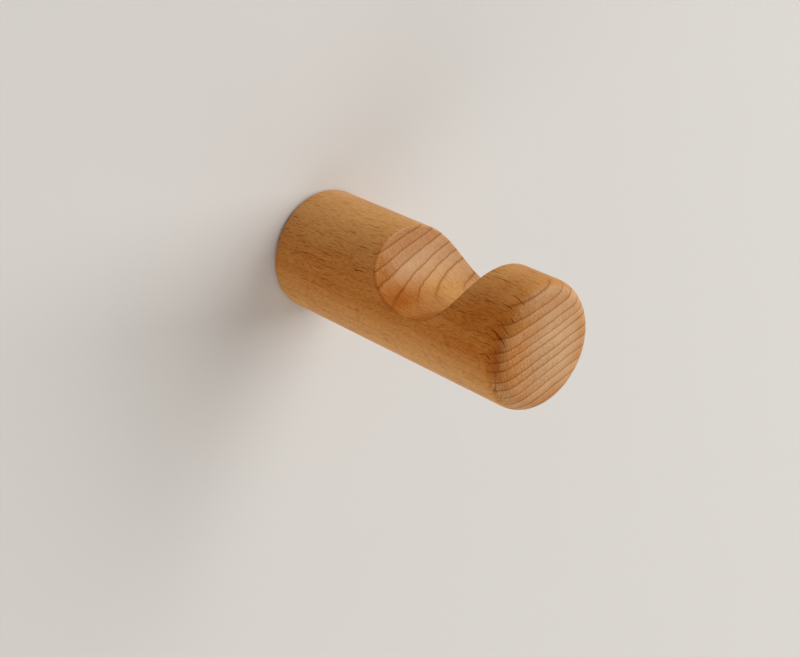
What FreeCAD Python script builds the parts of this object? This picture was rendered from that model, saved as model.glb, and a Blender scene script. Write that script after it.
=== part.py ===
import FreeCAD, Part
import math
import os

# A round wooden bracket that holds a curtain pole clear of the wall.
# Sizes are in millimetres. X runs along the wall, Y into the wall and Z up.
# The origin is the middle of the peg's back face, the face that lies on the wall.

# The peg, turned from one piece of beech
peg_diameter = 36.0
peg_length = 91.0
nose_round = 5.5  # where the side of the peg turns into its front face
face_crown_radius = 180.0  # the front face is turned very slightly domed
back_edge_chamfer = 0.8

# The seat cut across the top of the peg
pole_diameter = 35.0
pole_from_wall = 55.0  # to the middle of the pole
pole_clearance = 0.25  # all round the pole
seat_floor_height = 1.5  # above the peg's axis
seat_edge_round = 0.9

# The screw that joins the peg to the wall, threaded at both ends
screw_diameter = 8.0  # over the threads
screw_middle_diameter = 5.8
screw_middle_length = 10.0  # half of it in the peg
screw_depth_in_peg = 35.0
screw_depth_in_wall = 45.0
screw_point_length = 8.0
screw_runout_length = 1.2  # where each thread fades into the plain middle

# The hole for it in the back of the peg
bore_clearance = 0.0  # the thread bites into the wood
bore_spare_depth = 2.0  # past the screw's end
bore_drill_angle = 118.0  # between the sides of the cone that the drill leaves
bore_mouth_chamfer = 0.6

along_wall = FreeCAD.Vector(1, 0, 0)
into_wall = FreeCAD.Vector(0, 1, 0)


def turned_point(depth, radius):
    # A point of an outline that is turned about the Y axis, drawn below the axis
    return FreeCAD.Vector(0, depth, -radius)


def line(start, end):
    return Part.LineSegment(start, end).toShape()


def polyline(points):
    return [line(start, end) for start, end in zip(points, points[1:])]


def turned(edges):
    # The outline starts and ends on the axis, and the axis closes it
    ends = [edges[0].Vertexes[0].Point, edges[-1].Vertexes[-1].Point]
    outline = Part.Wire(edges + [line(ends[1], ends[0])])
    return Part.Face(outline).revolve(FreeCAD.Vector(0, 0, 0), into_wall, 360)


def peg_blank():
    # The round rod with a chamfered back edge, a rounded nose and a domed face.
    # The nose arc meets the dome where both have the same slope.
    radius = peg_diameter / 2
    nose_centre_radius = radius - nose_round
    dome_to_nose = face_crown_radius - nose_round
    meeting_angle = math.asin(nose_centre_radius / dome_to_nose)
    dome_centre = face_crown_radius - peg_length
    nose_centre = dome_centre - dome_to_nose * math.cos(meeting_angle)

    def on_dome(angle):
        depth = dome_centre - face_crown_radius * math.cos(angle)
        return turned_point(depth, face_crown_radius * math.sin(angle))

    def on_nose(angle):
        depth = nose_centre - nose_round * math.cos(angle)
        return turned_point(depth, nose_centre_radius + nose_round * math.sin(angle))

    middle_of_nose = (meeting_angle + math.pi / 2) / 2
    dome = Part.Arc(on_dome(0), on_dome(meeting_angle / 2), on_dome(meeting_angle))
    nose = Part.Arc(on_nose(meeting_angle), on_nose(middle_of_nose), on_nose(math.pi / 2))
    side_and_back = polyline(
        [
            on_nose(math.pi / 2),
            turned_point(-back_edge_chamfer, radius),
            turned_point(0, radius - back_edge_chamfer),
            turned_point(0, 0),
        ]
    )
    return turned([dome.toShape(), nose.toShape()] + side_and_back)


def seat_cutter():
    # A trough with a round floor for the pole and straight sides, open at the top
    radius = pole_diameter / 2 + pole_clearance
    axis_height = seat_floor_height + radius
    top = axis_height + peg_diameter
    half_width = peg_diameter  # well past both sides of the peg

    def in_section(across, height):
        return FreeCAD.Vector(-half_width, across - pole_from_wall, height)

    floor = Part.Arc(
        in_section(-radius, axis_height),
        in_section(0, axis_height - radius),
        in_section(radius, axis_height),
    )
    sides = polyline(
        [
            in_section(radius, axis_height),
            in_section(radius, top),
            in_section(-radius, top),
            in_section(-radius, axis_height),
        ]
    )
    section = Part.Face(Part.Wire([floor.toShape()] + sides))
    return section.extrude(along_wall * (2 * half_width))


def bore_cutter():
    # A drilled hole with a chamfered mouth and the cone of the drill at its end
    radius = screw_diameter / 2 + bore_clearance
    depth = screw_depth_in_peg + bore_spare_depth
    cone_length = radius / math.tan(math.radians(bore_drill_angle / 2))
    outline = polyline(
        [
            turned_point(-depth - cone_length, 0),
            turned_point(-depth, radius),
            turned_point(-bore_mouth_chamfer, radius),
            turned_point(0, radius + bore_mouth_chamfer),
            turned_point(0, 0),
        ]
    )
    return turned(outline)


def lies_on(edge, surface):
    # True where the whole edge runs along the surface
    if edge.Degenerated:
        return False
    gaps = [Part.Vertex(point).distToShape(surface)[0] for point in edge.discretize(5)]
    return max(gaps) < 0.001


def bracket_peg():
    trough = seat_cutter()
    peg = peg_blank().cut(trough)
    rim = [edge for edge in peg.Edges if lies_on(edge, trough)]
    peg = peg.makeFillet(seat_edge_round, rim)
    return peg.cut(bore_cutter()).Solids[0]


def dowel_screw():
    # The outline over the threads: a point, the thread, the plain middle, and the
    # same again the other way for the end in the wall
    radius = screw_diameter / 2
    middle_radius = screw_middle_diameter / 2
    half_middle = screw_middle_length / 2
    outline = polyline(
        [
            turned_point(-screw_depth_in_peg, 0),
            turned_point(-screw_depth_in_peg + screw_point_length, radius),
            turned_point(-half_middle - screw_runout_length, radius),
            turned_point(-half_middle, middle_radius),
            turned_point(half_middle, middle_radius),
            turned_point(half_middle + screw_runout_length, radius),
            turned_point(screw_depth_in_wall - screw_point_length, radius),
            turned_point(screw_depth_in_wall, 0),
        ]
    )
    return turned(outline)


os.makedirs("parts", exist_ok=True)
for name, shape in (("bracket_peg", bracket_peg()), ("dowel_screw", dowel_screw())):
    shape.exportStep("parts/" + name + ".step")
    print(name, "volume in cubic millimetres", round(shape.Volume), "valid", shape.isValid())
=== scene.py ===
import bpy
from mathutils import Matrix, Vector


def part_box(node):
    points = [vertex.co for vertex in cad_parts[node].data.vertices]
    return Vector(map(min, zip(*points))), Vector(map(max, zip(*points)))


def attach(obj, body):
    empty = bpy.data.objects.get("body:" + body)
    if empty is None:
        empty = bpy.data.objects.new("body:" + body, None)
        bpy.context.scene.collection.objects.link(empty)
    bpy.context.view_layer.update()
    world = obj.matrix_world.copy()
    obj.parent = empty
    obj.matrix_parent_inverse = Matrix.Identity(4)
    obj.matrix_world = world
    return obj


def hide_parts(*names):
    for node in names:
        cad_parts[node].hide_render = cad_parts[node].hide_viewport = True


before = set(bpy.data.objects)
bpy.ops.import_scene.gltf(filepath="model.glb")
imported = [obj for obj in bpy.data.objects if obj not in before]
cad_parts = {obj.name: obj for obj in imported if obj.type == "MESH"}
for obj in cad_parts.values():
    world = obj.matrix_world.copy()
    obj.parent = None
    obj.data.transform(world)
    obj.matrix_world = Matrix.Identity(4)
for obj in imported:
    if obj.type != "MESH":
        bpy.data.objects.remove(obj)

from types import SimpleNamespace
import bpy
import numpy as np
from mathutils import Matrix

# A turned beech peg with a screw in its back, in front of a plain pale backdrop. X runs to
# the right, Y from the peg's nose to its back and Z up, from the middle of the back face.
mm = 0.001  # sizes below are in millimetres, and Blender's are in metres
fullTurn = 2 * np.pi
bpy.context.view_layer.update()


def paint(red, green, blue):
    # A colour as read off a screen, 0 to 255, made linear: ((c + 0.055) / 1.055) to the power 2.4
    screen = np.array([red, green, blue]) / 255
    linear = np.where(screen > 0.04045, ((screen + 0.055) / 1.055) ** 2.4, screen / 12.92)
    return (*linear.tolist(), 1.0)


def between(share, first, second):
    # From first to second as the share goes from 0 to 1
    return share * (second - first) + first


def addObject(name, points, faces, material):
    # An object at the origin, from points in millimetres
    mesh = bpy.data.meshes.new(name)
    mesh.from_pydata((points * mm).tolist(), [], faces)
    mesh.update()
    mesh.materials.append(material)
    made = bpy.data.objects.new(name, mesh)
    bpy.context.collection.objects.link(made)
    return made


class Wire:
    # A socket of a net, so that sums and products in Python become Math nodes
    def __init__(self, net, socket):
        self.net = net
        self.socket = socket

    def __add__(self, other):
        return self.net.math("ADD", self, other)

    def __radd__(self, other):
        return self.net.math("ADD", other, self)

    def __sub__(self, other):
        return self.net.math("SUBTRACT", self, other)

    def __rsub__(self, other):
        return self.net.math("SUBTRACT", other, self)

    def __mul__(self, other):
        return self.net.math("MULTIPLY", self, other)

    def __rmul__(self, other):
        return self.net.math("MULTIPLY", other, self)

    def __truediv__(self, other):
        return self.net.math("DIVIDE", self, other)

    def __rtruediv__(self, other):
        return self.net.math("DIVIDE", other, self)

    def atLeast(self, other):
        return self.net.math("MAXIMUM", self, other)

    def step(self, start, end):
        # 0 below start, 1 above end, and a smooth slope between them
        sockets = {"Value": self, "From Min": start, "From Max": end}
        return self.net.add("MapRange", {"interpolation_type": "SMOOTHSTEP"}, sockets)

    def band(self, start, whole, fading, end):
        # 1 from whole to fading, 0 outside start and end, and smooth slopes between them
        return self.step(start, whole) * (1 - self.step(fading, end))

    def length(self):
        return self.net.vector("LENGTH", self, output="Value")

    def output(self, name):
        # Another output of the same node
        return Wire(self.net, self.socket.node.outputs[name])


class Net:
    # The nodes of one material, or of the world
    def __init__(self, owner):
        owner.use_nodes = True
        self.owner = owner
        self.tree = owner.node_tree
        self.tree.nodes.clear()

    def feed(self, socket, value):
        if isinstance(value, Wire):
            self.tree.links.new(value.socket, socket)
        else:
            socket.default_value = value

    def add(self, kind, settings=None, sockets=None, output=0):
        # Any node: its settings first, then the values or links of its sockets. An output
        # node, where a net ends, has no wire to give.
        node = self.tree.nodes.new("ShaderNode" + kind)
        for name, value in (settings or {}).items():
            if name == "stops":
                self.setStops(node.color_ramp, value)
            else:
                setattr(node, name, value)
        for name, value in (sockets or {}).items():
            self.feed(node.inputs[name], value)
        return Wire(self, node.outputs[output]) if len(node.outputs) > 0 else None

    def setStops(self, ramp, stops):
        # Each stop is a place from 0 to 1 and a grey level
        ramp.interpolation = "LINEAR"
        for place, level in stops[1:-1]:
            ramp.elements.new(place)
        for element, (place, level) in zip(ramp.elements, stops):
            element.position = place
            element.color = (level, level, level, 1.0)

    def math(self, operation, *numbers):
        return self.add("Math", {"operation": operation}, dict(enumerate(numbers)))

    def vector(self, operation, *vectors, output="Vector"):
        return self.add("VectorMath", {"operation": operation}, dict(enumerate(vectors)), output)

    def ramp(self, number, stops):
        return self.add("ValToRGB", {"stops": stops}, {"Fac": number})

    def blendColours(self, share, first, second, kind="MIX"):
        # A Mix node takes its colours in inputs 6 and 7, and gives them blended in output 2
        settings = {"data_type": "RGBA", "blend_type": kind, "clamp_factor": True}
        return self.add("Mix", settings, {0: share, 6: first, 7: second}, 2)

    def stain(self, share, colour, tint):
        # The colour multiplied by a share of the tint
        return self.blendColours(share, colour, tint, "MULTIPLY")

    def split(self, vector):
        # The three numbers of a vector or a colour
        first = self.add("SeparateXYZ", None, {"Vector": vector}, "X")
        return first, first.output("Y"), first.output("Z")

    def place(self):
        # Where a point lies on its object, in millimetres
        return self.vector("MULTIPLY", self.add("TexCoord", output="Object"), (1 / mm,) * 3)

    def noise(self, place, waves, layers, strength):
        # From about -0.5 to 0.5, with so many waves for each mm in each direction, and
        # layers of finer waves on them of the given strength
        scaled = self.vector("MULTIPLY", place, waves)
        sockets = {"Vector": scaled, "Scale": 1.0, "Detail": layers, "Roughness": strength}
        return self.add("TexNoise", {"noise_dimensions": "3D"}, sockets) - 0.5

    def chance(self, number):
        # A random number from 0 to 1 for each whole number
        return self.add("TexWhiteNoise", {"noise_dimensions": "1D"}, {"W": number})

    def bump(self, height, strength, depth):
        sockets = {"Height": height, "Strength": strength, "Distance": depth * mm}
        return self.add("Bump", None, sockets)

    def finish(self, shader, kind="OutputMaterial"):
        # The net ends here, in the output of a material or of the world
        self.add(kind, None, {"Surface": shader})
        return self.owner


# The beech: what a user would change. A fade holds where a share of something is 0 and
# where it is whole, and a band is one with a second fade on its far side.
beech = {
    # The side grain is a deeper orange than far to the right: partly the wood's own colour, partly
    # painted warm bounce light and shade
    "sideColour": paint(218, 161, 95),
    "rightColour": paint(215, 167, 117),  # the side grain far to the right
    "endColour": paint(210, 168, 126),
    "paleSide": paint(228, 180, 112),
    "paleEnd": paint(226, 190, 154),
    # The next five multiply the wood's colour
    "darkSide": paint(206, 160, 36),  # the side grain in its darker fibres
    "darkEnd": paint(190, 144, 70),  # and the end grain
    "ringTint": paint(192, 142, 10),  # under a ring line
    "dashTint": paint(184, 128, 24),  # under a ray's dark end, a streak or a check
    "oilTint": paint(226, 183, 112),  # where the wood drank more oil, and where shade is painted
    "roughness": 0.46,
    "sheen": 0.07,
    "relief": 0.3,
    "reliefDepth": 0.15,
    # The trunk: how a ring rises and spreads towards the right, by the distance, its square
    # and its cube, and how far a step of 1 mm round the rings goes right and up
    "ringRise": (0.3527, -0.00195, -0.000159),
    "ringSpread": (-0.00364, 0.00016, 0.00001),
    "roundRings": (0.962, 0.27),
    "lean": 0.065,  # how far the grain leans to the left for each mm towards the back
    "leanFrom": -85,
    "waver": 1.5,  # how far the grain wavers
    # The rings: the heights at which their lines cross the peg's middle line, and how far
    # the pattern goes on past the last ones
    "ringHeights": (-18.2, -15.2, -12.2, -9.2, -6.2, -3.1, -0.3, 3.1, 5.4, 7.9, 11.1, 14.0, 17.0),
    "ringMargin": 3,
    "ringToneStart": 40,  # the number of the first ring in the draw of their tones
    "drift": 0.8,
    "tremble": 0.4,
    "sink": 0.012,  # how far the rings sink for each mm towards the back
    "sinkFrom": -90,
    # How dark a ring line is, and how pale the wood, from one line (0) to the next (1)
    "lineStops": [(0.0, 1.0), (0.03, 0.6), (0.06, 0.28), (0.13, 0.12), (0.35, 0.03),
                  (0.7, 0.0), (0.87, 0.05), (0.945, 0.5), (1.0, 1.0)],
    "paleStops": [(0.0, 0.0), (0.3, 0.1), (0.6, 0.3), (0.8, 1.0), (0.9, 0.6), (1.0, 0.0)],
    "weakestLine": 0.6,  # against the strongest one
    "lineOnSide": 0.25,  # how strongly a ring line shows on the side grain
    "lineOnEnd": 1.0,  # and on the end grain
    # Noise: its waves for each mm to the right, back and up, how many layers of finer waves
    # it has, and how strong those are
    "waverNoise": ((0.05, 0.16, 0.05), 3.0, 0.5),
    "driftNoise": ((0.09, 0.02, 0.09), 2.0, 0.5),
    "trembleNoise": ((0.5, 0.06, 0.5), 2.0, 0.5),
    # The same in the trunk: out from its middle, round the rings and along it
    "grainNoises": {
        "fibres": ((2.4, 2.8, 0.14), 3.0, 0.65),
        "hair": ((6.5, 7.5, 0.45), 2.0, 0.6),
        "rays": ((0.3, 4.0, 0.5), 2.0, 0.65),
        "streaks": ((0.25, 4.2, 0.35), 2.0, 0.6),
        "pores": ((5.0, 5.0, 0.6), 1.0, 0.5),
        "patches": ((0.22, 0.7, 0.5), 2.0, 0.5),
        "tone": ((0.07, 0.07, 0.025), 2.0, 0.5),
    },
    # The dark ends of the rays, in the same directions: the size of the cells that they lie
    # in, their half-size as a share of it, how many cells have one, and where those start
    "dashes": [
        ((4.5, 1.0, 5.6), (0.7, 0.15, 0.55), 0.85, (0.0, 0.0, 0.0)),
        ((2.6, 0.62, 2.5), (0.65, 0.17, 0.5), 0.9, (3.1, 7.7, 1.9)),
    ],
    "dashPresence": 0.05,  # how softly cells with one differ from those without
    "dashRandomness": 0.9,  # of their places in the cells
    "dashSizes": (0.5, 1.1),  # from the smallest to the largest
    "dashStrengths": (0.5, 1.0),
    "dashOnEdgeGrain": 0.15,  # how strongly they show where the surface cuts across the rings
    # Short dark checks at the nose that follow the rays, each a centre and a half-size in
    # the same directions, with the growth as the first
    "checks": [
        ((18.6, -1.1, -78.8), (1.2, 0.17, 7.0)),
        ((17.0, -4.45, -87.4), (2.4, 0.17, 3.6)),
        ((16.9, -7.35, -86.4), (2.1, 0.17, 3.0)),
        ((10.7, -13.2, -87.0), (4.6, 0.2, 4.6)),
        ((12.6, -11.5, -88.6), (1.8, 0.14, 1.6)),
        ((14.2, -9.0, -89.2), (1.7, 0.14, 1.6)),
        ((16.6, -8.2, -80.7), (1.0, 0.14, 2.8)),
        ((6.6, -16.8, -85.7), (1.2, 0.15, 2.6)),
        ((3.0, -17.2, -86.5), (3.8, 0.2, 1.6)),
    ],
    # Fades by how squarely the surface cuts the trunk: 0 on side grain, 1 on end grain
    "endFade": (0.3, 0.86),
    "lineFade": (0.1, 0.55),
    "edgeBand": (0.05, 0.4, 0.6, 0.97),
    "oilBand": (0.4, 0.6, 0.72, 0.98),
    # and by how flat the rings lie to it
    "flatFade": (0.05, 0.7),
    # Fades by place
    "rightFade": (6, 18),
    "leftFade": (-17, 6),
    "leftFadeOnEnd": 2,  # where it ends on end grain
    "leftEdgeFade": (-16, -8),
    "lowFade": (-10, 2),
    "rimFade": (3, 15),  # from the peg's axis
    "noseFade": (-88, -66),
    "noseHeight": (-2, 6),
    "topNoseFade": (-88, -81),
    "topNoseHeight": (8, 15),
    "oilBandFade": (-16, -11),
    "oilBandHeight": (-5, 1, 5, 10),
    # and by noise
    "streakFade": (-0.02, 0.16),
    "patchFade": (0.06, 0.26),
    # and by distance from the middle of a mark
    "dashFade": (0.3, 1.0),
    "checkFade": (0.35, 1.0),
    # How much oil the wood drank, and how much painted shade and painted light it carries
    # Painted shade on the left side, and more on its left edge, which face away from the light
    "oilAtLeft": 0.85,
    "oilAtLeftEdge": 0.5,
    "oilAtEdge": 0.15,
    # Painted shade on the upper side of the nose
    "oilAtNose": 0.5,
    # Darker round the rim of the end grain: partly oil, partly a painted sheen, as the middle stays
    # paler
    "oilAtRim": 0.6,
    "oilAtBand": 0.75,  # painted shade: a second coat of the tint in a band on the left of the nose
    "oilLostLow": 0.84,  # how much less of the tint there is low on the left, as painted light from below
    "oilLostOnTop": 0.4,  # and at the top of the nose
    "topNoseOnEnd": 0.3,  # how much of that loss reaches the end grain
    # How strongly each pattern tells in the colour
    "tone": 0.9,
    "ringTone": 0.25,
    "paleBand": 0.16,
    "raysOnEnd": 0.8,
    "raysOnEdge": 0.4,
    "pores": 1.4,
    "patches": 0.25,
    "fibres": 0.4,
    "hairOnSide": 1.25,
    "hairOnEnd": 0.75,
    "lostOnRight": 0.5,
    # Less paleness on the left edge, part of its painted shade
    "paleLostAtLeftEdge": 0.6,
    "darkness": 1.3,
    "fineDarkness": 2.5,  # of the fine patterns on the side grain
    "streaks": 0.6,
    "checkCoats": (0.85, 0.5),  # a check takes the tint twice
    # How high or deep each pattern stands in the relief
    "fibreHeight": 0.35,
    "hairHeight": 0.2,
    "rayHeight": 0.4,
    "ringDepth": 0.3,
    "dashDepth": 0.4,
    "checkDepth": 0.8,
    # How much rougher the end grain and the fibres are
    "endRoughness": 0.14,
    "fibreRoughness": 0.2,
}


def readWood(net, values):
    # Where a point lies in the trunk and how the surface cuts the wood there. Its growth is
    # the height at which its ring crosses the peg's middle line: (height - rise) divided by
    # (1 + spread), where both are cubic curves from left to right.
    wood = SimpleNamespace(place=net.place())
    wood.across, wood.along, wood.up = net.split(wood.place)
    square = wood.across * wood.across
    powers = (wood.across, square, square * wood.across)
    rise = sum(power * factor for power, factor in zip(powers, values["ringRise"]))
    spread = sum(power * factor for power, factor in zip(powers, values["ringSpread"]))
    wood.growth = (wood.up - rise) / (spread + 1)
    right, higher = values["roundRings"]
    lean = (wood.along - values["leanFrom"]) * values["lean"]
    waver = net.noise(wood.place, *values["waverNoise"]) * values["waver"]
    wood.sideways = wood.across * right + wood.up * higher + lean + waver
    sockets = {"X": wood.growth, "Y": wood.sideways, "Z": wood.along}
    wood.grain = net.add("CombineXYZ", None, sockets)

    normal = net.add("NewGeometry", output="Normal")
    alongTrunk, acrossRings = (0.0, 1.0, 0.0), (-higher, 0.0, right)
    wood.cut, flat = [
        net.math("ABSOLUTE", net.vector("DOT_PRODUCT", normal, direction, output="Value"))
        for direction in (alongTrunk, acrossRings)
    ]
    wood.endShare = wood.cut.step(*values["endFade"])
    wood.edgeShare = wood.cut.band(*values["edgeBand"])
    wood.flatShare = flat.step(*values["flatFade"])
    wood.rightShare = wood.sideways.step(*values["rightFade"])
    wood.leftEdge = wood.edgeShare * (1 - wood.sideways.step(*values["leftEdgeFade"]))
    wood.noise = {name: net.noise(wood.grain, *form) for name, form in values["grainNoises"].items()}
    return wood


def drawRings(net, values, wood):
    # Growth rings: a thin dark line, darker wood past it that fades, then even wood. A ramp
    # turns the ring heights into whole numbers, and the fraction left over is the ring's age.
    lowest = values["ringHeights"][0] - values["ringMargin"]
    highest = values["ringHeights"][-1] + values["ringMargin"]
    heights = np.array([lowest, *values["ringHeights"], highest])
    count = len(heights) - 1
    places = (heights - lowest) / (highest - lowest)
    levels = np.arange(count + 1) / count
    drift = net.noise(wood.place, *values["driftNoise"]) * values["drift"]
    tremble = net.noise(wood.place, *values["trembleNoise"]) * values["tremble"]
    sink = (wood.along - values["sinkFrom"]) * values["sink"]
    drifted = (wood.growth + drift + tremble + sink - lowest) / (highest - lowest)
    rings = net.ramp(drifted, list(zip(places.tolist(), levels.tolist()))) * count
    age, number = net.math("FRACT", rings), net.math("FLOOR", rings)
    strength = between(net.chance(number), values["weakestLine"], 1.0)
    wood.ringLine = net.ramp(age, values["lineStops"]) * strength
    wood.paleBand = net.ramp(age, values["paleStops"])
    wood.ringTone = net.chance(number + values["ringToneStart"]) - 0.5
    lineShare = wood.cut.step(*values["lineFade"])
    wood.ringShare = between(lineShare, values["lineOnSide"], values["lineOnEnd"])


def drawDashes(net, values, wood):
    # A lens of its own size and darkness in most cells of a stretched grid. It is dark where
    # the distance from its middle, divided by its half-size, is below 1.
    dashes = []
    for cell, halfSize, share, start in values["dashes"]:
        cells = net.vector("DIVIDE", net.vector("ADD", wood.grain, start), cell)
        sockets = {"Vector": cells, "Scale": 1.0, "Randomness": values["dashRandomness"]}
        middle = net.add("TexVoronoi", {"feature": "F1"}, sockets, "Position")
        first, second, third = net.split(middle.output("Color"))
        away = net.vector("DIVIDE", net.vector("SUBTRACT", cells, middle), halfSize).length()
        inside = 1 - (away / between(second, *values["dashSizes"])).step(*values["dashFade"])
        present = 1 - first.step(share - values["dashPresence"], share + values["dashPresence"])
        dashes.append(inside * present * between(third, *values["dashStrengths"]))
    flatness = between(wood.flatShare, values["dashOnEdgeGrain"], 1.0)
    wood.dashShare = sum(dashes) * flatness * (1 - wood.rightShare * values["lostOnRight"])


def drawChecks(net, values, wood):
    # Single lenses at chosen places, worked out in the same way. The nearest one counts.
    nearest = 1.0
    for centre, halfSize in values["checks"]:
        away = net.vector("DIVIDE", net.vector("SUBTRACT", wood.grain, centre), halfSize).length()
        nearest = net.math("MINIMUM", nearest, away)
    wood.check = 1 - nearest.step(*values["checkFade"])


def applyOilAndShade(net, values, wood, colour):
    # The tint darkens the wood where it drank more oil on its edge, and as painted shade on the
    # left, on the nose and in a band on the left of the nose. Round the rim of the end grain it is
    # partly oil and partly a painted sheen, as the middle stays paler. There is less of it low on
    # the left, as painted light from below, and at the top of the nose.
    leftEnd = between(wood.endShare, values["leftFade"][1], values["leftFadeOnEnd"])
    leftShare = 1 - wood.sideways.step(values["leftFade"][0], leftEnd)
    lowShare = 1 - wood.up.step(*values["lowFade"])
    noseShare = (1 - wood.along.step(*values["noseFade"])) * (1 - wood.endShare)
    noseShare = noseShare * wood.up.step(*values["noseHeight"])
    topNoseShare = wood.up.step(*values["topNoseHeight"]) * (1 - wood.along.step(*values["topNoseFade"]))
    topNoseShare = topNoseShare * between(wood.endShare, 1.0, values["topNoseOnEnd"])
    fromAxis = net.math("SQRT", wood.across * wood.across + wood.up * wood.up)
    # Round the rim of the end grain: partly oil, partly a painted sheen left in the paler middle
    rimShare = fromAxis.step(*values["rimFade"]) * wood.endShare
    rimShare = rimShare * (1 - wood.edgeShare * (1 - leftShare * (1 - lowShare)))
    # Painted shade on the left and more on its left edge, and real oil on every edge
    oilAndShadeShare = leftShare * (wood.edgeShare * values["oilAtLeftEdge"] + values["oilAtLeft"])
    # Painted shade on the upper side of the nose
    oilAndShadeShare = oilAndShadeShare + noseShare * values["oilAtNose"] + wood.edgeShare * values["oilAtEdge"]
    # Less of the tint low down: painted light from below
    oilAndShadeShare = oilAndShadeShare * (1 - lowShare * values["oilLostLow"]) + rimShare * values["oilAtRim"]
    oilAndShadeShare = oilAndShadeShare * (1 - topNoseShare * values["oilLostOnTop"])
    # Painted shade in a band on the left of the nose, where the side turns towards the end grain
    bandShare = wood.cut.band(*values["oilBand"]) * wood.up.band(*values["oilBandHeight"])
    bandShare = bandShare * (1 - wood.sideways.step(*values["oilBandFade"]))
    # Each coat stains with the tint: oil, and painted shade
    for coat in (oilAndShadeShare, bandShare * values["oilAtBand"]):
        colour = net.stain(coat, colour, values["oilTint"])
    return colour


def applyTones(net, values, wood, colour):
    # Broad and fine patterns make the wood paler where they are above 0 and darker below
    noise, endShare = wood.noise, wood.endShare
    rayAmount = endShare * values["raysOnEnd"] + wood.edgeShare * values["raysOnEdge"]
    patches = noise["patches"].step(*values["patchFade"]) * (1 - endShare) * (1 - wood.flatShare)
    broad = noise["tone"] * values["tone"] + wood.ringTone * values["ringTone"]
    broad = broad + wood.paleBand * endShare * values["paleBand"] + noise["rays"] * rayAmount
    broad = broad + noise["pores"] * endShare * values["pores"] - patches * values["patches"]
    hairAmount = between(endShare, values["hairOnSide"], values["hairOnEnd"])
    hairAmount = hairAmount - wood.rightShare * values["lostOnRight"]
    fine = noise["fibres"] * values["fibres"] + noise["hair"] * hairAmount
    pale = (broad + fine).atLeast(0.0) * (1 - wood.leftEdge * values["paleLostAtLeftEdge"])
    palest = net.blendColours(endShare, values["paleSide"], values["paleEnd"])
    colour = net.blendColours(pale, colour, palest)
    fineDarkness = between(endShare, values["fineDarkness"], values["darkness"])
    dark = (0 - fine * fineDarkness - broad * values["darkness"]).atLeast(0.0)
    darkest = net.blendColours(endShare, values["darkSide"], values["darkEnd"])
    return net.stain(dark, colour, darkest)


def applyMarks(net, values, wood, colour):
    # Ring lines, the rays' dark ends, streaks on the left edge and the checks
    streaks = wood.noise["streaks"].step(*values["streakFade"]) * wood.leftEdge
    colour = net.stain(wood.ringLine * wood.ringShare, colour, values["ringTint"])
    marks = [wood.dashShare * (1 - wood.endShare), streaks * values["streaks"]]
    marks += [wood.check * coat for coat in values["checkCoats"]]
    for mark in marks:
        colour = net.stain(mark, colour, values["dashTint"])
    return colour


def makeBeech(values):
    net = Net(bpy.data.materials.new("oiledBeech"))
    wood = readWood(net, values)
    drawRings(net, values, wood)
    drawDashes(net, values, wood)
    drawChecks(net, values, wood)
    # Deeper orange side grain away from the right: partly painted warm bounce light and shade
    side = net.blendColours(wood.rightShare, values["sideColour"], values["rightColour"])
    colour = net.blendColours(wood.endShare, side, values["endColour"])
    for apply in (applyOilAndShade, applyTones, applyMarks):
        colour = apply(net, values, wood, colour)

    fibres, hair, rays = [wood.noise[name] for name in ("fibres", "hair", "rays")]
    height = fibres * values["fibreHeight"] + hair * values["hairHeight"]
    height = height + rays * wood.endShare * values["rayHeight"]
    height = height - wood.ringLine * wood.endShare * values["ringDepth"]
    height = height - wood.dashShare * values["dashDepth"] - wood.check * values["checkDepth"]
    bump = net.bump(height, values["relief"], values["reliefDepth"])
    roughness = wood.endShare * values["endRoughness"] + fibres * values["fibreRoughness"]
    roughness = roughness + values["roughness"]
    sockets = {"Base Color": colour, "Roughness": roughness, "Normal": bump}
    sockets["Specular IOR Level"] = values["sheen"]
    return net.finish(net.add("BsdfPrincipled", None, sockets))


oiledBeech = makeBeech(beech)
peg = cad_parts["bracket_peg"]
for holder in peg.material_slots:
    holder.material = oiledBeech
print("peg dressed in beech")


# The screw: what a user would change. Its ends and its outer radius come from the frame.
screw = {
    "coreRadius": 2.75,
    "middleRadius": 2.9,
    "middleHalfLength": 5.0,
    "pointLength": 8.0,
    "pitch": 3.2,
    "crestHalfWidth": 0.62,
    "flankPower": 0.9,  # below 1 the flanks of the thread bulge
    "threadOnPoint": 1.4,  # how much sooner than the core the thread grows from the point
    "tipShare": 0.02,
    "runout": 2.4,
    "rowStep": 0.16,
    "around": 96,
    "steel": paint(174, 176, 179),
    "tint": paint(164, 161, 148),
    "roughness": 0.32,
    "cloudNoise": ((0.26, 0.26, 0.26), 3.0, 0.5),
    "scratchNoise": ((0.9, 5.0, 0.9), 2.0, 0.5),
    "tintFade": (-0.15, 0.2),  # in the clouds
    "cloudRoughness": 0.16,
    "scratchRoughness": 0.12,
    "scratchDepth": 0.03,
    "scratchStrength": 0.2,
}


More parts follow.
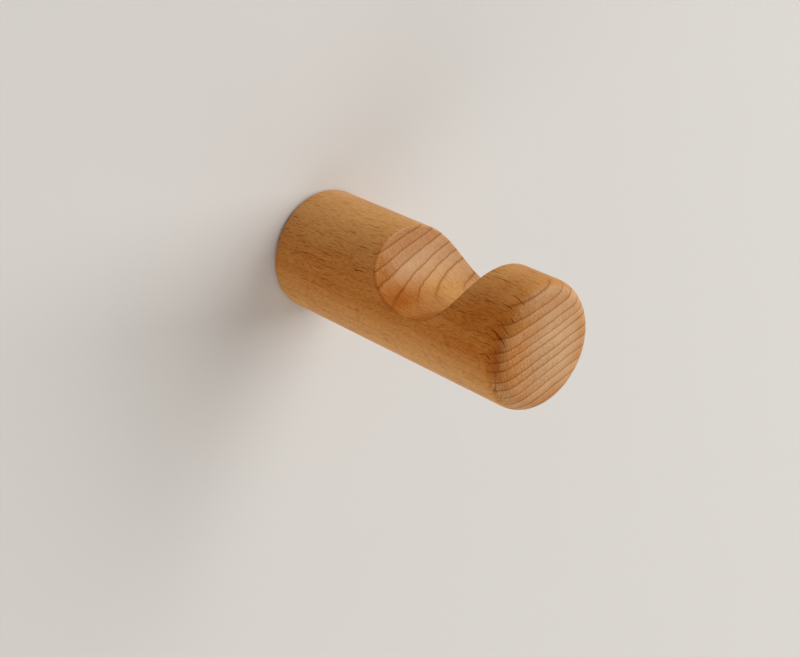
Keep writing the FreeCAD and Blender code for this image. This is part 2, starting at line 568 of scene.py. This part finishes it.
def makeScrew(values):
    # A turned surface whose radius is the core plus a ridge. The ridge follows a helix: it
    # stands where depth / pitch - angle / full turn is a whole number, with sloped flanks.
    low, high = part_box("dowel_screw")
    pegEnd, farEnd, outerRadius = low.y / mm, high.y / mm, high.z / mm
    rows = int(round((farEnd - pegEnd) / values["rowStep"])) + 1
    depth = np.linspace(pegEnd, farEnd, rows)[1:-1]
    angle = np.linspace(0, fullTurn, values["around"], endpoint=False)
    depthGrid, angleGrid = np.meshgrid(depth, angle, indexing="ij")
    toTip = np.minimum(depthGrid - pegEnd, farEnd - depthGrid)
    taper = np.clip(toTip / values["pointLength"], 0, 1)
    fade = np.clip((np.abs(depthGrid) - values["middleHalfLength"]) / values["runout"], 0, 1)
    fade = fade * fade * (3 - 2 * fade)
    core = between(fade, values["middleRadius"], values["coreRadius"])
    turn = depthGrid / values["pitch"] - angleGrid / fullTurn
    fromCrest = np.abs(turn - np.round(turn)) * values["pitch"] / values["crestHalfWidth"]
    ridge = np.clip(1 - fromCrest, 0, 1) ** values["flankPower"]
    growth = np.minimum(1, taper * values["threadOnPoint"])
    radius = core * taper + (outerRadius - values["coreRadius"]) * fade * growth * ridge
    radius = np.minimum(radius, outerRadius * np.minimum(1, taper + values["tipShare"]))
    grid = np.stack([radius * np.cos(angleGrid), depthGrid, radius * np.sin(angleGrid)], -1)
    tips = np.array([[0, pegEnd, 0], [0, farEnd, 0]])
    points = np.concatenate([grid.reshape(-1, 3), tips])
    count, around = depthGrid.shape
    index = np.arange(count * around).reshape(count, around)
    nextColumn = np.roll(index, -1, axis=1)
    quads = np.stack([index[:-1], index[1:], nextColumn[1:], nextColumn[:-1]], -1).reshape(-1, 4)
    firstTip, lastTip = count * around, count * around + 1
    startFan = np.stack([np.full(around, firstTip), index[0], nextColumn[0]], -1)
    endFan = np.stack([np.full(around, lastTip), nextColumn[-1], index[-1]], -1)
    faces = quads.tolist() + startFan.tolist() + endFan.tolist()
    piece = addObject("dowelScrewThreaded", points, faces, makeSteel(values))
    piece.data.polygons.foreach_set("use_smooth", np.ones(len(faces), dtype=bool))
    return piece


def makeSteel(values):
    net = Net(bpy.data.materials.new("zincPlatedSteel"))
    place = net.place()
    cloud = net.noise(place, *values["cloudNoise"])
    scratches = net.noise(place, *values["scratchNoise"])
    tinted = cloud.step(*values["tintFade"])
    colour = net.blendColours(tinted, values["steel"], values["tint"])
    roughness = cloud * values["cloudRoughness"] + scratches * values["scratchRoughness"]
    roughness = roughness + values["roughness"]
    bump = net.bump(scratches, values["scratchStrength"], values["scratchDepth"])
    sockets = {"Base Color": colour, "Metallic": 1.0, "Roughness": roughness, "Normal": bump}
    return net.finish(net.add("BsdfPrincipled", None, sockets))


screwPiece = makeScrew(screw)
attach(screwPiece, "root")
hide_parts("dowel_screw")
print("screw threaded")


# The backdrop, the floor, the air and the lamps: what a user would change
stage = {
    "backdropColour": paint(224, 221, 217),
    "floorColour": paint(222, 219, 214),
    "paintRoughness": 0.9,
    "paintSheen": 0.1,
    "airColour": paint(232, 230, 226),
    "airStrength": 0.44,
    "backdropGap": 0.05,  # behind the peg's back face
    "backdropRadius": 1600.0,
    "backdropCorners": 128,
    "holeInset": 0.9,  # inside the peg's outline, so that the peg covers the hole
    "floorDrop": 1200.0,
    "floorHalf": 15000.0,
    "floorGlow": 0.42,
    "keyFrom": (1471.0, -1325.0, 900.0),
    "keySize": (1500.0, 2400.0),
    "keyPower": 40.0,
    "fillFrom": (-650.0, -600.0, -900.0),
    "fillSize": (1200.0, 1200.0),
    "fillPower": 5.0,
}


def seenRays(net):
    # 1 for what the camera, a reflection or glass sees, and 0 for light on the bracket
    camera = net.add("LightPath", output="Is Camera Ray")
    glossy, through = camera.output("Is Glossy Ray"), camera.output("Is Transmission Ray")
    return camera.atLeast(glossy).atLeast(through)


def paintSockets(values, colour):
    paintwork = {"Base Color": colour, "Roughness": values["paintRoughness"]}
    paintwork["Specular IOR Level"] = values["paintSheen"]
    return paintwork


def makeBackdrop(values):
    # A flat ring round the peg's foot: a circle just inside the peg's outline, joined to a
    # wide one. It shows from the front only, and its hole leaves the screw in the open.
    net = Net(bpy.data.materials.new("backdropPaint"))
    front = net.add("BsdfPrincipled", None, paintSockets(values, values["backdropColour"]))
    behind = net.add("BsdfTransparent")
    fromBehind = net.add("NewGeometry", output="Backfacing")
    backdropPaint = net.finish(net.add("MixShader", None, {0: fromBehind, 1: front, 2: behind}))
    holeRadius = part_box("bracket_peg")[1].z / mm - values["holeInset"]
    corners = values["backdropCorners"]
    angle = np.linspace(0, fullTurn, corners, endpoint=False)
    ring = np.stack([np.cos(angle), np.zeros(corners), np.sin(angle)], -1)
    points = np.concatenate([ring * holeRadius, ring * values["backdropRadius"]])
    points = points + np.array([0, values["backdropGap"], 0])
    start = np.arange(corners)
    after = np.roll(start, -1)
    faces = np.stack([start, start + corners, after + corners, after], -1).tolist()
    addObject("backdrop", points, faces, backdropPaint)


def makeFloor(values):
    # A flat square far below. The lamps hardly reach it, so it glows a little to the camera
    # and in reflections.
    net = Net(bpy.data.materials.new("floorPaint"))
    glow = net.blendColours(seenRays(net), (0.0, 0.0, 0.0, 1.0), values["floorColour"])
    sockets = paintSockets(values, values["floorColour"])
    sockets.update({"Emission Color": glow, "Emission Strength": values["floorGlow"]})
    floorPaint = net.finish(net.add("BsdfPrincipled", None, sockets))
    half, drop = values["floorHalf"], -values["floorDrop"]
    points = [(-half, -half, drop), (half, -half, drop), (half, half, drop), (-half, half, drop)]
    addObject("floor", np.array(points), [(0, 1, 2, 3)], floorPaint)


def makeLamp(name, place, size, power):
    # A wide soft light that looks at the bracket
    light = bpy.data.lights.new(name, "AREA")
    light.shape = "RECTANGLE"
    light.size = size[0] * mm
    light.size_y = size[1] * mm
    light.energy = power
    lamp = bpy.data.objects.new(name, light)
    lamp.location = np.array(place) * mm
    away = lamp.location.normalized()
    lamp.rotation_euler = away.to_track_quat("Z", "Y").to_euler()
    bpy.context.collection.objects.link(lamp)


def makeAir(values):
    # The air lights the bracket at its own strength, and shows at full strength to the
    # camera and in reflections
    net = Net(bpy.data.worlds.new("air"))
    strength = seenRays(net).atLeast(values["airStrength"])
    air = net.add("Background", None, {"Color": values["airColour"], "Strength": strength})
    bpy.context.scene.world = net.finish(air, "OutputWorld")


makeBackdrop(stage)
makeFloor(stage)
makeAir(stage)
for lampName in ("key", "fill"):
    makeLamp(lampName, stage[lampName + "From"], stage[lampName + "Size"], stage[lampName + "Power"])
print("stage lit")


# The camera: what a user would change
view = {
    "place": (-285.41, -337.34, 161.78),
    "azimuth": 43.38,  # where it looks, in degrees from straight back towards the right
    "elevation": -22.844,  # and in degrees up
    "roll": -3.46,
    "lens": 71.824,
    "sensorWidth": 36.0,
    "nearest": 10.0,
}


def makeCamera(values):
    # Forward is where it looks. Right and below are crosswise to that, turned by the roll.
    azimuth, elevation, roll = np.radians([values["azimuth"], values["elevation"], values["roll"]])
    forward = np.array([np.sin(azimuth), np.cos(azimuth), np.tan(elevation)])
    forward = forward / np.linalg.norm(forward)
    right = np.cross(forward, (0, 0, 1))
    right = right / np.linalg.norm(right)
    below = np.cross(forward, right)
    turnedRight = np.cos(roll) * right + np.sin(roll) * below
    turnedBelow = np.cos(roll) * below - np.sin(roll) * right
    pose = np.eye(4)
    pose[:3, :3] = np.stack([turnedRight, -turnedBelow, -forward], -1)
    pose[:3, 3] = np.array(values["place"]) * mm
    lens = bpy.data.cameras.new("camera")
    lens.sensor_fit = "HORIZONTAL"
    lens.sensor_width = values["sensorWidth"]
    lens.lens = values["lens"]
    lens.clip_start = values["nearest"] * mm
    camera = bpy.data.objects.new("camera", lens)
    camera.matrix_world = Matrix(pose.tolist())
    bpy.context.collection.objects.link(camera)
    bpy.context.scene.camera = camera


makeCamera(view)
bpy.context.scene.view_settings.view_transform = "Standard"
print("camera placed")
